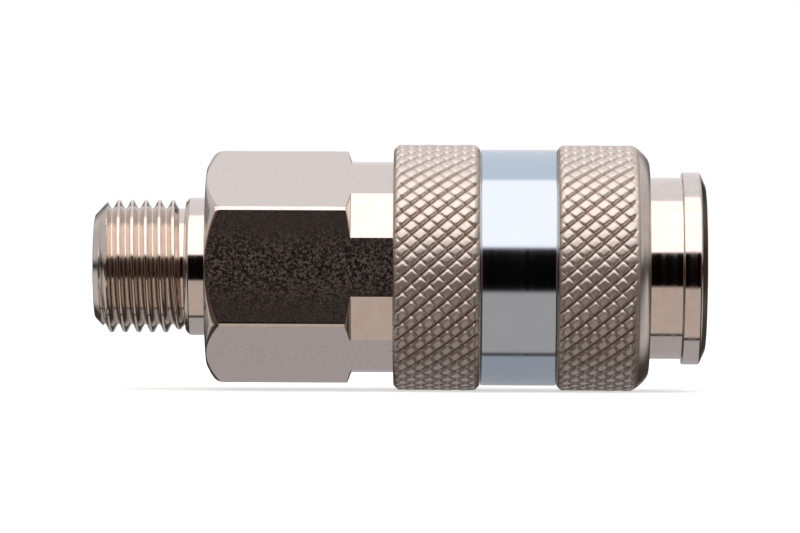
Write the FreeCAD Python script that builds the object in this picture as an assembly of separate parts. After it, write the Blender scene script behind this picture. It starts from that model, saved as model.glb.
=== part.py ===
import FreeCAD, Part
import math
import os

# Quick coupling, socket half, for a plug with a ball groove.
# Millimetres. +X runs along the axis towards the nose, +Z is up, and the hexagon shows a flat to -Y.
# The origin is on the axis, where the male thread meets its collar.

# Plug and locking balls
PLUG_BORE = 12.1
MOUTH_STEP = 0.2
BALL_DIAMETER = 4.0
BALL_COUNT = 8
BALL_REACH = 0.95
BALL_LIFT = 1.05
BALL_PROUD = 0.15

# Walls and steps, from the axis outward
BODY_WALL = 1.4
FLAT_DEPTH = 0.4
STOP_RING_SECTION = 1.0
STOP_RING_SEAT = 0.55
SLEEVE_WALL = 0.85
KNURL_DEPTH = 0.35
BAND_STEP = 0.5
BAND_THICKNESS = 0.4
LIP_STEP = 0.55

# Clearances
RUN_GAP = 0.05
SEAT_GAP = 0.05
BAND_GAP = 0.03
RING_ROOM = 0.1
TRAVEL_MARGIN = 0.15

# Rear body, along the axis
THREAD_DIAMETER = 13.157
THREAD_LENGTH = 9.0
THREAD_CHAMFER = 1.1
THREAD_CHAMFER_DEPTH = 1.3
COLLAR_DIAMETER = 13.6
COLLAR_LENGTH = 2.1
COLLAR_CHAMFER = 0.4
HEX_LENGTH = 13.85
HEX_CHAMFER = 0.95
HEX_CHAMFER_DEPTH = 1.75
HEX_CONE = 0.45
INLET_BORE = 8.0
INLET_CHAMFER = 0.6
GUIDE_EDGE = 0.3

# Sleeve, along the axis
SLEEVE_TRAVEL = 4.0
REAR_GRIP = 8.5
BAND_LENGTH = 7.6
BAND_EDGE = 0.15
FRONT_GRIP = 7.45
FRONT_ROUND = 1.6
FRONT_ROUND_DEPTH = 1.3
GRIP_BEVEL = 0.35
GRIP_BEVEL_DEPTH = 0.15
REAR_LIP = 1.45
FRONT_LIP = 0.8
KNURL_COUNT = 47
KNURL_PITCH = 1.757
KNURL_LAND = 0.6

# Nose
NOSE_GAP = 3.25
NOSE_LIP = 2.35
NOSE_LIP_CHAMFER = 0.6
NOSE_LIP_CHAMFER_DEPTH = 1.3
MOUTH_CHAMFER = 1.0
BALL_SHOULDER = 2.5

# Plug seal
TIP_BORE = 10.2
TIP_DEPTH = 5.0
SEAL_SECTION = 1.8
SEAL_SQUEEZE = 0.35
BACKUP_LENGTH = 0.8
GROOVE_WALL = 0.9

# Valve
VALVE_CHAMBER = 13.2
SEAT_HOLE = 8.4
SEAT_LENGTH = 1.4
SEAT_TO_GROOVE = 0.85
VALVE_SEAL_LENGTH = 1.6
HEAD_LENGTH = 2.0
HEAD_ROOM = 1.0
POPPET_NOSE = 6.8
POPPET_BORE = 4.6
POPPET_REACH = 3.4
PORT_DIAMETER = 1.8
PORT_COUNT = 4
STEM_DIAMETER = 3.6
STEM_BEHIND_GUIDE = 0.5
GUIDE_LENGTH = 2.0
GUIDE_RIM_STEP = 0.4
HUB_WALL = 0.8
SPOKE_WIDTH = 1.6
SPOKE_COUNT = 3
VALVE_TRAVEL = 4.5

# Body joint and springs
JOINT_LENGTH = 10.0
GASKET_LENGTH = 1.0
GUIDE_SEAT_DEPTH = 4.4
GROOVE_LAND = 0.95
SLEEVE_SPRING_LENGTH = 10.0
SLEEVE_SPRING_WIRE = 0.9
SLEEVE_SPRING_TURNS = 4.5
VALVE_SPRING_WIRE = 0.8
VALVE_SPRING_TURNS = 7.0

# Radii
ball_radius = BALL_DIAMETER / 2
plug_radius = PLUG_BORE / 2
mouth_radius = plug_radius + MOUTH_STEP
ball_circle = plug_radius - BALL_REACH + ball_radius
nose_radius = ball_circle + ball_radius - BALL_PROUD
lip_radius = nose_radius + LIP_STEP
joint_radius = nose_radius + RUN_GAP
guide_radius = joint_radius + BODY_WALL
hex_flat = guide_radius - FLAT_DEPTH
hex_corner = hex_flat / math.cos(math.pi / 6)
sleeve_bore = guide_radius + RUN_GAP
stop_ring_inner = guide_radius - STOP_RING_SEAT
stop_ring_outer = stop_ring_inner + STOP_RING_SECTION
ring_room_radius = stop_ring_outer + RING_ROOM
knurl_root = ring_room_radius + SLEEVE_WALL
knurl_crest = knurl_root + KNURL_DEPTH
band_outer = knurl_crest - BAND_STEP
band_inner = band_outer - BAND_THICKNESS
band_seat = band_inner - BAND_GAP
land_radius = nose_radius + RUN_GAP
thread_radius = THREAD_DIAMETER / 2
collar_radius = COLLAR_DIAMETER / 2
inlet_radius = INLET_BORE / 2
tip_radius = TIP_BORE / 2
seal_inner = tip_radius - SEAL_SQUEEZE
groove_radius = seal_inner + SEAL_SECTION + SEAT_GAP
chamber_radius = VALVE_CHAMBER / 2
seat_radius = SEAT_HOLE / 2
head_radius = chamber_radius - HEAD_ROOM
poppet_radius = POPPET_NOSE / 2
stem_radius = STEM_DIAMETER / 2
hub_radius = stem_radius + RUN_GAP + HUB_WALL

# Places along the axis, rear body and sleeve outside
thread_end = -THREAD_LENGTH
hex_start = COLLAR_LENGTH
hex_end = hex_start + HEX_LENGTH
guide_start = hex_end + HEX_CONE
sleeve_rear = guide_start + SLEEVE_TRAVEL + TRAVEL_MARGIN
band_rear = sleeve_rear + REAR_GRIP
band_front = band_rear + BAND_LENGTH
round_start = band_front + FRONT_GRIP
sleeve_front = round_start + FRONT_ROUND
lip_rear = sleeve_front + NOSE_GAP
nose_end = lip_rear + NOSE_LIP

# Places along the axis, sleeve inside
ring_room_rear = sleeve_rear + REAR_LIP
stop_ring_rear = ring_room_rear + SEAT_GAP
stop_ring_front = stop_ring_rear + STOP_RING_SECTION
ring_room_front = stop_ring_front + SLEEVE_TRAVEL + RING_ROOM
guide_front = stop_ring_front + SEAT_GAP + GROOVE_LAND
spring_shoulder = guide_front + SLEEVE_SPRING_LENGTH
recess_front = sleeve_front - FRONT_LIP

# Locking cone: it follows the balls outward as the sleeve goes back
cone_slope = BALL_LIFT / SLEEVE_TRAVEL
cone_gap = (ball_radius + RUN_GAP) * math.sqrt(1 + cone_slope**2)
lifted_drop = land_radius - ball_circle - BALL_LIFT
lifted_half = math.sqrt(ball_radius**2 - lifted_drop**2)
ball_x = recess_front - SLEEVE_TRAVEL - lifted_half - 2 * RUN_GAP
cone_rear = ball_x - (ball_circle + cone_gap - land_radius) / cone_slope
cone_front = ball_x + SLEEVE_TRAVEL
recess_radius = ball_circle + cone_gap + BALL_LIFT

# Places along the axis, front body inside
mouth_start = ball_x + BALL_SHOULDER
mouth_end = nose_end - MOUTH_CHAMFER
plug_step = ball_x - TIP_DEPTH
groove_front = plug_step - GROOVE_WALL
backup_front = groove_front - SEAT_GAP
backup_rear = backup_front - BACKUP_LENGTH
seal_front = backup_rear - SEAT_GAP
groove_rear = seal_front - SEAL_SECTION - SEAT_GAP
seat_front = groove_rear - SEAT_TO_GROOVE
seat_rear = seat_front - SEAT_LENGTH
socket_rear = guide_front - JOINT_LENGTH
gasket_front = socket_rear - SEAT_GAP
gasket_rear = gasket_front - GASKET_LENGTH
joint_shoulder = gasket_rear - SEAT_GAP
guide_seat = joint_shoulder - GUIDE_SEAT_DEPTH

# Places along the axis, valve
valve_seal_front = seat_rear - SEAT_GAP
valve_seal_rear = valve_seal_front - VALVE_SEAL_LENGTH
head_front = valve_seal_rear - SEAT_GAP
head_rear = head_front - HEAD_LENGTH
poppet_tip = seat_rear + POPPET_REACH
guide_rear_face = guide_seat + SEAT_GAP
guide_front_face = guide_rear_face + GUIDE_LENGTH
stem_end = guide_rear_face + STEM_BEHIND_GUIDE

X_AXIS = FreeCAD.Vector(1, 0, 0)
ORIGIN = FreeCAD.Vector(0, 0, 0)


def at(x, r, angle=0.0):
    """Point at x along the axis, r from it, turned by angle from -Y towards +Z."""
    return FreeCAD.Vector(x, -r * math.cos(angle), r * math.sin(angle))


def turned(profile):
    """Solid turned from a closed outline of (x, r) pairs."""
    corners = [at(x, r) for x, r in profile]
    outline = Part.makePolygon(corners + corners[:1])
    return Part.Face(outline).revolve(ORIGIN, X_AXIS, 360)


def ring(rear, front, inner, outer):
    """Plain ring."""
    return turned([(rear, inner), (front, inner), (front, outer), (rear, outer)])


def rod(rear, front, radius):
    """Plain round bar on the axis."""
    return Part.makeCylinder(radius, front - rear, at(rear, 0), X_AXIS)


def line(a, b):
    return Part.makeLine(at(*a), at(*b))


def arc(a, through, b):
    return Part.Arc(at(*a), at(*through), at(*b)).toShape()


def hexagon(rear, front, flat):
    """Hexagonal bar with a flat towards -Y."""
    corner = flat / math.cos(math.pi / 6)
    corners = [at(rear, corner, math.pi / 6 + k * math.pi / 3) for k in range(6)]
    return Part.Face(Part.makePolygon(corners + corners[:1])).extrude(X_AXIS * (front - rear))


def coil(rear, front, mean_radius, wire, turns):
    """Spring of round wire between two seats."""
    length = front - rear - wire
    path = Part.makeHelix(length / turns, length, mean_radius)
    section = Part.Wire(Part.makeCircle(wire / 2, FreeCAD.Vector(mean_radius, 0, 0), FreeCAD.Vector(0, 1, 0)))
    spring = Part.Wire(path).makePipeShell([section], True, True)
    spring.rotate(ORIGIN, FreeCAD.Vector(0, 1, 0), 90)
    spring.translate(X_AXIS * (rear + wire / 2))
    return spring


def round_ring(centre, inner, section):
    """Ring of round section."""
    torus = Part.makeTorus(inner + section / 2, section / 2)
    torus.rotate(ORIGIN, FreeCAD.Vector(0, 1, 0), 90)
    torus.translate(X_AXIS * centre)
    return torus


def skin(edges):
    """Turned surfaces of an open outline."""
    return Part.Wire(edges).revolve(ORIGIN, X_AXIS, 360).Faces


def polygon_face(*corners):
    return Part.Face(Part.makePolygon(list(corners) + [corners[0]]))


class Knurl:
    """Band of flat-topped diamonds between two crossed sets of grooves.

    Groove crossings and diamond centres alternate along the rows and round them. Each diamond is a
    pyramid on four crossings, cut off by a plane at the crest, so all its faces are flat.
    """

    def __init__(self, rear, front):
        self.rows = max(2, round((front - rear) / (KNURL_PITCH / 2)))
        self.step = (front - rear) / self.rows
        self.rear = rear
        self.turn = math.pi / KNURL_COUNT
        self.apex = knurl_root + KNURL_DEPTH / (1 - KNURL_LAND)

    def crossing(self, row, place):
        return at(self.rear + row * self.step, knurl_root, place * self.turn)

    def top_corner(self, row, place, row_step, place_step):
        """Where the edge from a crossing to the apex meets the plane of the diamond's top."""
        low = knurl_root * math.cos(place_step * self.turn)
        share = (knurl_crest - low) / (self.apex - low)
        start = self.crossing(row + row_step, place + place_step)
        apex = at(self.rear + row * self.step, self.apex, place * self.turn)
        return start + (apex - start) * share

    def diamond(self, row, place):
        """Flat faces of one diamond, or of the half that lies inside the band."""
        sides = [(0, 1), (1, 0), (0, -1), (-1, 0)]
        sides = [s for s in sides if 0 <= row + s[0] <= self.rows]
        tops = [self.top_corner(row, place, *s) for s in sides]
        faces = [polygon_face(*tops)]
        for s, t in zip(sides, sides[1:] + sides[:1]):
            if s[0] == t[0]:
                continue
            low_s = self.crossing(row + s[0], place + s[1])
            low_t = self.crossing(row + t[0], place + t[1])
            top_s = self.top_corner(row, place, *s)
            top_t = self.top_corner(row, place, *t)
            faces.append(polygon_face(low_s, low_t, top_t, top_s))
        return faces

    def end(self, row, inner):
        """Flat end of the band, from its teeth in to a circle."""
        corners = []
        for place in range(2 * KNURL_COUNT):
            if (row + place) % 2:
                corners.append(self.top_corner(row, place, 0, -1))
                corners.append(self.top_corner(row, place, 0, 1))
            else:
                corners.append(self.crossing(row, place))
        teeth = Part.makePolygon(corners + corners[:1])
        x = self.rear + row * self.step
        circle = Part.Wire(Part.Vertex(at(x, inner)).revolve(ORIGIN, X_AXIS, 360).Edges)
        return Part.Face([teeth, circle])

    def faces(self, rear_inner, front_inner):
        found = [self.end(0, rear_inner), self.end(self.rows, front_inner)]
        for row in range(self.rows + 1):
            for place in range(2 * KNURL_COUNT):
                if (row + place) % 2:
                    found += self.diamond(row, place)
        return found


def build_threaded_body():
    """Rear body: thread, collar, chamfered hexagon, guide with narrow flats."""
    blank = turned([
        (thread_end, 0),
        (thread_end, thread_radius - THREAD_CHAMFER_DEPTH),
        (thread_end + THREAD_CHAMFER, thread_radius),
        (0, thread_radius),
        (0, collar_radius - COLLAR_CHAMFER),
        (COLLAR_CHAMFER, collar_radius),
        (hex_start, collar_radius),
        (hex_start, 0),
    ])
    top = hex_corner + RUN_GAP
    turned_limit = turned([
        (hex_start, 0),
        (hex_start, top - HEX_CHAMFER_DEPTH),
        (hex_start + HEX_CHAMFER, top),
        (hex_end, top),
        (guide_start, guide_radius),
        (guide_front - GUIDE_EDGE, guide_radius),
        (guide_front, guide_radius - GUIDE_EDGE),
        (guide_front, 0),
    ])
    body = turned_limit.common(hexagon(hex_start, guide_front, hex_flat)).fuse(blank)
    bore = turned([
        (thread_end - 1, 0),
        (thread_end - 1, inlet_radius + INLET_CHAMFER),
        (thread_end, inlet_radius + INLET_CHAMFER),
        (thread_end + INLET_CHAMFER, inlet_radius),
        (guide_seat, inlet_radius),
        (guide_seat, chamber_radius),
        (joint_shoulder, chamber_radius),
        (joint_shoulder, joint_radius),
        (guide_front + 1, joint_radius),
        (guide_front + 1, 0),
    ])
    groove = ring(stop_ring_rear - SEAT_GAP, stop_ring_front + SEAT_GAP, stop_ring_inner - RUN_GAP, hex_corner)
    return body.cut(bore).cut(groove)


def build_socket_body():
    """Front body: joint end, valve seat, plug bore, ball holes and nose."""
    outside = turned([
        (socket_rear, 0),
        (socket_rear, nose_radius - GUIDE_EDGE),
        (socket_rear + GUIDE_EDGE, nose_radius),
        (lip_rear, nose_radius),
        (lip_rear, lip_radius),
        (nose_end - NOSE_LIP_CHAMFER, lip_radius),
        (nose_end, lip_radius - NOSE_LIP_CHAMFER_DEPTH),
        (nose_end, 0),
    ])
    inside = turned([
        (socket_rear - 1, 0),
        (socket_rear - 1, chamber_radius),
        (seat_rear, chamber_radius),
        (seat_rear, seat_radius),
        (seat_front, seat_radius),
        (seat_front, tip_radius),
        (groove_rear, tip_radius),
        (groove_rear, groove_radius),
        (groove_front, groove_radius),
        (groove_front, tip_radius),
        (plug_step, tip_radius),
        (plug_step, plug_radius),
        (mouth_start, plug_radius),
        (mouth_start, mouth_radius),
        (mouth_end, mouth_radius),
        (nose_end, mouth_radius + MOUTH_CHAMFER),
        (nose_end + 1, mouth_radius + MOUTH_CHAMFER),
        (nose_end + 1, 0),
    ])
    body = outside.cut(inside)
    for angle in ball_angles():
        centre = at(ball_x, ball_circle, angle)
        outward = at(0, 1, angle)
        hole = Part.makeCylinder(ball_radius + RUN_GAP, nose_radius, centre, outward)
        seat = Part.makeSphere(ball_radius + RUN_GAP, centre)
        body = body.cut(hole.fuse(seat))
    return body


def build_locking_sleeve():
    """Sleeve: two knurled grips, seat of the band, bore with spring room and locking cone."""
    bevel_radius = knurl_root - GRIP_BEVEL_DEPTH
    rear_grip = Knurl(sleeve_rear + GRIP_BEVEL, band_rear - GRIP_BEVEL)
    front_grip = Knurl(band_front + GRIP_BEVEL, round_start)
    corner = (sleeve_front, knurl_root - FRONT_ROUND_DEPTH)
    start = (round_start, knurl_root - RUN_GAP)
    lean = math.sqrt(0.5)
    through = (round_start + FRONT_ROUND * lean, start[1] - (start[1] - corner[1]) * (1 - lean))
    inside = [
        corner,
        (sleeve_front, land_radius),
        (recess_front, land_radius),
        (recess_front, recess_radius),
        (cone_front, recess_radius),
        (cone_rear, land_radius),
        (spring_shoulder, land_radius),
        (spring_shoulder, sleeve_bore),
        (ring_room_front, sleeve_bore),
        (ring_room_front, ring_room_radius),
        (ring_room_rear, ring_room_radius),
        (ring_room_rear, sleeve_bore),
        (sleeve_rear, sleeve_bore),
        (sleeve_rear, bevel_radius),
        (sleeve_rear + GRIP_BEVEL, knurl_root - RUN_GAP),
    ]
    waist = [
        (band_rear - GRIP_BEVEL, knurl_root - RUN_GAP),
        (band_rear, bevel_radius),
        (band_rear, band_seat),
        (band_front, band_seat),
        (band_front, bevel_radius),
        (band_front + GRIP_BEVEL, knurl_root - RUN_GAP),
    ]
    faces = skin([arc(start, through, corner)] + [line(a, b) for a, b in zip(inside, inside[1:])])
    faces += skin([line(a, b) for a, b in zip(waist, waist[1:])])
    faces += rear_grip.faces(knurl_root - RUN_GAP, knurl_root - RUN_GAP)
    faces += front_grip.faces(knurl_root - RUN_GAP, knurl_root - RUN_GAP)
    shell = Part.makeCompound(faces)
    shell.sewShape()
    sleeve = Part.makeSolid(shell.Shells[0])
    if sleeve.Volume < 0:
        sleeve.reverse()
    return sleeve


def build_centre_band():
    """Bright band that fills the waist between the two grips."""
    rear = band_rear + BAND_GAP
    front = band_front - BAND_GAP
    return turned([
        (rear, band_inner),
        (rear, band_outer - BAND_EDGE),
        (rear + BAND_EDGE, band_outer),
        (front - BAND_EDGE, band_outer),
        (front, band_outer - BAND_EDGE),
        (front, band_inner),
    ])


def build_valve_poppet():
    """Valve: hollow nose with ports, head and guided stem."""
    poppet = turned([
        (stem_end, 0),
        (stem_end, stem_radius - GUIDE_EDGE),
        (stem_end + GUIDE_EDGE, stem_radius),
        (head_rear, stem_radius),
        (head_rear, head_radius),
        (head_front, head_radius),
        (head_front, poppet_radius),
        (poppet_tip - GUIDE_EDGE, poppet_radius),
        (poppet_tip, poppet_radius - GUIDE_EDGE),
        (poppet_tip, POPPET_BORE / 2),
        (valve_seal_rear, POPPET_BORE / 2),
        (valve_seal_rear, 0),
    ])
    port_x = (seat_rear + poppet_tip) / 2 - PORT_DIAMETER / 2
    for k in range(PORT_COUNT):
        angle = 2 * math.pi * k / PORT_COUNT
        port = Part.makeCylinder(PORT_DIAMETER / 2, poppet_radius + 1, at(port_x, 0), at(0, 1, angle))
        poppet = poppet.cut(port)
    return poppet


def build_valve_guide():
    """Three-spoked guide: rim under the spring, hub round the stem."""
    rim_outer = chamber_radius - RUN_GAP
    rim_inner = inlet_radius + GUIDE_RIM_STEP
    guide = ring(guide_rear_face, guide_front_face, rim_inner, rim_outer)
    for k in range(SPOKE_COUNT):
        spoke = Part.makeBox(
            GUIDE_LENGTH, SPOKE_WIDTH, rim_inner + RUN_GAP, FreeCAD.Vector(guide_rear_face, -SPOKE_WIDTH / 2, 0)
        )
        spoke.rotate(ORIGIN, X_AXIS, 360 * k / SPOKE_COUNT)
        guide = guide.fuse(spoke)
    guide = guide.fuse(rod(guide_rear_face, guide_front_face, hub_radius))
    return guide.cut(rod(guide_rear_face - 1, guide_front_face + 1, stem_radius + RUN_GAP)).removeSplitter()


def ball_angles():
    return [math.pi * (2 * k + 1) / BALL_COUNT for k in range(BALL_COUNT)]


def build_all():
    parts = {
        "threaded_body": build_threaded_body(),
        "socket_body": build_socket_body(),
        "locking_sleeve": build_locking_sleeve(),
        "centre_band": build_centre_band(),
        "valve_poppet": build_valve_poppet(),
        "valve_guide": build_valve_guide(),
    }
    parts["body_gasket"] = ring(gasket_rear, gasket_front, chamber_radius + RUN_GAP, joint_radius - RUN_GAP)
    parts["stop_ring"] = ring(stop_ring_rear, stop_ring_front, stop_ring_inner, stop_ring_outer)
    parts["plug_seal"] = round_ring(seal_front - SEAL_SECTION / 2, seal_inner, SEAL_SECTION)
    parts["seal_backup_ring"] = ring(backup_rear, backup_front, tip_radius + RUN_GAP, groove_radius - RUN_GAP)
    parts["valve_seal"] = ring(
        valve_seal_rear, valve_seal_front, poppet_radius + RUN_GAP, head_radius - RUN_GAP
    )
    sleeve_coil = (joint_radius + sleeve_bore) / 2
    parts["sleeve_spring"] = coil(
        guide_front + SEAT_GAP, spring_shoulder - SEAT_GAP, sleeve_coil, SLEEVE_SPRING_WIRE, SLEEVE_SPRING_TURNS
    )
    valve_coil = (inlet_radius + head_radius) / 2
    parts["valve_spring"] = coil(
        guide_front_face + SEAT_GAP, head_rear - SEAT_GAP, valve_coil, VALVE_SPRING_WIRE, VALVE_SPRING_TURNS
    )
    for number, angle in enumerate(ball_angles(), 1):
        parts["locking_ball_%d" % number] = Part.makeSphere(ball_radius, at(ball_x, ball_circle, angle))
    return parts


def main():
    os.makedirs("parts", exist_ok=True)
    for name, shape in build_all().items():
        if not shape.isValid() or len(shape.Solids) != 1:
            raise RuntimeError("bad solid: " + name)
        shape.Solids[0].exportStep("parts/" + name + ".step")
        print(name, round(shape.Volume, 2), len(shape.Faces))


main()
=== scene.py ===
import math

import bmesh
import bpy
from mathutils import Euler, Matrix, Vector


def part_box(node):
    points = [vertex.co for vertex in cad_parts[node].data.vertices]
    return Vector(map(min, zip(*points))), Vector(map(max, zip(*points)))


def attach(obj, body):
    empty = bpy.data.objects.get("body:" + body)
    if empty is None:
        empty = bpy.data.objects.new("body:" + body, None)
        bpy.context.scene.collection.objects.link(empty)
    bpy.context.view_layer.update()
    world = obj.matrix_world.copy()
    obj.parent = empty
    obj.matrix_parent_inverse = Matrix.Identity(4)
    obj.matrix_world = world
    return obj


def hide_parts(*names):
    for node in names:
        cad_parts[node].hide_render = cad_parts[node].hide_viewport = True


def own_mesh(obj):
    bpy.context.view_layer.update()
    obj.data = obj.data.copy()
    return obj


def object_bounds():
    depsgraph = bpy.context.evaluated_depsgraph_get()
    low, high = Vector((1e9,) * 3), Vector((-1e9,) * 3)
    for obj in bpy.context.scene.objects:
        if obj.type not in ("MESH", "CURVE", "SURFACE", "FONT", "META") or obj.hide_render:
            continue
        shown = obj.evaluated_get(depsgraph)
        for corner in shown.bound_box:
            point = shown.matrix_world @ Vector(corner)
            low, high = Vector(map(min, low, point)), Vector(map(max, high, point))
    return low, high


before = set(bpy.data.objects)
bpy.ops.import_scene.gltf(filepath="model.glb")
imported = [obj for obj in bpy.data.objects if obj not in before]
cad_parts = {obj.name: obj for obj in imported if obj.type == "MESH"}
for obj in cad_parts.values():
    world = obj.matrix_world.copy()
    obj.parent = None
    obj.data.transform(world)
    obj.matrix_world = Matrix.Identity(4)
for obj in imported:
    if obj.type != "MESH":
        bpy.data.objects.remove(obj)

bl_info = {
    "name": "Quick Coupling Finish",
    "version": (1, 0, 0),
    "blender": (4, 5, 0),
    "location": "3D View > Sidebar > Coupling",
    "description": "Plated, threaded and knurled pieces for a quick coupling, with a plain studio",
    "category": "Object",
}

CAD_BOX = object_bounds()
MM = 0.001
MICRON = 0.001 * MM
SAME_SPOT = 0.1 * MICRON
NO_LENGTH = 0.01 * MICRON
FULL_TURN = 2 * math.pi
HEX_SIDES = 6
SIXTH = FULL_TURN / HEX_SIDES
HALF_SIXTH = SIXTH / 2

# The frame's own extents, which the pieces are fitted to
BODY_LOW, BODY_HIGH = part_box("threaded_body")
NOSE_LOW, NOSE_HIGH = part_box("socket_body")
SLEEVE_LOW, SLEEVE_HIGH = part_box("locking_sleeve")
BAND_LOW, BAND_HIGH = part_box("centre_band")
SLEEVE_SPRING_LOW, SLEEVE_SPRING_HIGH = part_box("sleeve_spring")
VALVE_SPRING_LOW, VALVE_SPRING_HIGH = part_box("valve_spring")
STOP_RING_LOW, STOP_RING_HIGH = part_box("stop_ring")
BALL_NODES = sorted(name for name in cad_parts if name.startswith("locking_ball"))
BALL_LOW, BALL_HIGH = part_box(BALL_NODES[0])


# Property helpers

def length(name, description, millimetres):
    """Length property, given in millimetres and kept in metres."""
    return bpy.props.FloatProperty(
        name=name, description=description, default=millimetres * MM, unit="LENGTH", precision=4
    )


def number(name, description, value):
    return bpy.props.FloatProperty(name=name, description=description, default=value)


def count(name, description, value):
    return bpy.props.IntProperty(name=name, description=description, default=value, min=1)


def degrees(name, description, value):
    return bpy.props.FloatProperty(
        name=name, description=description, default=math.radians(value), subtype="ANGLE"
    )


def colour(name, description, value):
    return bpy.props.FloatVectorProperty(
        name=name, description=description, default=value, size=3, subtype="COLOR", min=0.0, max=1.0
    )


class RearBodySizes(bpy.types.PropertyGroup):
    """Sizes of the rear body and its thread."""

    thread_radius: length("Thread radius", "Over the crests of the thread", 6.5785)
    thread_depth: length("Thread depth", "From crest to root", 0.856)
    thread_pitch: length("Thread pitch", "From crest to crest", 1.337)
    thread_crest: length("Thread crest", "Place of the last crest along the axis, at the top", -1.33)
    thread_fade: number("Thread run-out", "Share of a turn over which the thread fades at the collar", 0.4)
    chamfer_length: length("Chamfer length", "Length of the chamfer at the thread's end", 1.4)
    chamfer_depth: length("Chamfer depth", "Depth of the chamfer at the thread's end", 1.5)
    collar_radius: length("Collar radius", "Collar between thread and hexagon", 6.8)
    collar_length: length("Collar length", "From the thread to the hexagon", 2.1)
    collar_chamfer: length("Collar chamfer", "Chamfer at the collar's edge", 0.4)
    hex_flat: length("Hexagon flat", "From the axis to a flat", 10.0)
    hex_length: length("Hexagon length", "From the collar to the guide's cone", 13.85)
    hex_corner: length("Hexagon corner", "Rounding of the hexagon's long edges", 0.6)
    hex_chamfer: length("Hexagon chamfer", "Length of the chamfer on the hexagon's rear corners", 0.95)
    hex_chamfer_depth: length("Hexagon chamfer depth", "Depth of the chamfer from the corners inward", 1.7)
    hex_round: length("Hexagon end rounding", "Rounding between the chamfer and a corner", 0.8)
    hex_cone: length("Hexagon cone", "Length of the cone down to the guide", 0.45)
    guide_radius: length("Guide radius", "Turned guide on which the sleeve slides", 10.4)
    guide_chamfer: length("Guide chamfer", "Chamfer at the guide's front edge", 0.3)
    groove_radius: length("Groove radius", "Bottom of the stop ring's groove", 9.8)
    groove_gap: length("Groove gap", "Clearance beside the stop ring", 0.05)
    joint_radius: length("Joint radius", "Bore that takes the front body", 9.0)
    joint_shoulder: length("Joint shoulder", "Place of the joint's shoulder along the axis", 12.95)
    chamber_radius: length("Chamber radius", "Bore of the valve chamber", 6.6)
    chamber_end: length("Chamber end", "Place of the valve guide's seat along the axis", 8.55)
    inlet_radius: length("Inlet radius", "Bore through the thread", 4.0)
    inlet_chamfer: length("Inlet chamfer", "Chamfer at the inlet's edge", 0.6)
    edge: length("Edge rounding", "Rounding of turned edges", 0.1)
    columns: count("Columns", "Columns of faces in each sixth of the body", 28)


class FrontBodySizes(bpy.types.PropertyGroup):
    """Sizes of the front body."""

    nose_radius: length("Nose radius", "Outside of the body", 8.95)
    lip_length: length("Lip length", "Length of the lip at the nose", 2.35)
    lip_chamfer: length("Lip chamfer", "Length of the chamfer at the lip's front edge", 0.6)
    lip_chamfer_depth: length("Lip chamfer depth", "Depth of the chamfer at the lip's front edge", 1.3)
    rear_chamfer: length("Rear chamfer", "Chamfer at the joint's end", 0.3)
    chamber_radius: length("Chamber radius", "Bore of the valve chamber", 6.6)
    seat_radius: length("Seat radius", "Hole through the valve seat", 4.2)
    seat_rear: length("Seat rear", "Rear face of the valve seat along the axis", 28.09)
    seat_length: length("Seat length", "Thickness of the valve seat", 1.4)
    tip_radius: length("Tip radius", "Bore for the plug's tip", 5.1)
    groove_radius: length("Groove radius", "Bottom of the seal's groove", 6.6)
    groove_rear: length("Groove rear", "Rear wall of the seal's groove along the axis", 30.34)
    groove_front: length("Groove front", "Front wall of the seal's groove along the axis", 33.09)
    plug_step: length("Plug step", "Place where the bore widens for the plug", 33.99)
    plug_radius: length("Plug radius", "Bore round the plug", 6.05)
    mouth_start: length("Mouth start", "Place where the mouth begins along the axis", 41.49)
    mouth_radius: length("Mouth radius", "Bore of the mouth", 6.25)
    mouth_chamfer: length("Mouth chamfer", "Lead-in chamfer of the mouth", 1.0)
    ball_circle: length("Ball circle", "From the axis to the centre of a ball", 7.1)
    ball_gap: length("Ball gap", "Clearance round a ball", 0.05)
    edge: length("Edge rounding", "Rounding of turned edges", 0.12)
    columns: count("Columns", "Columns of faces round the body", 192)


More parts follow.
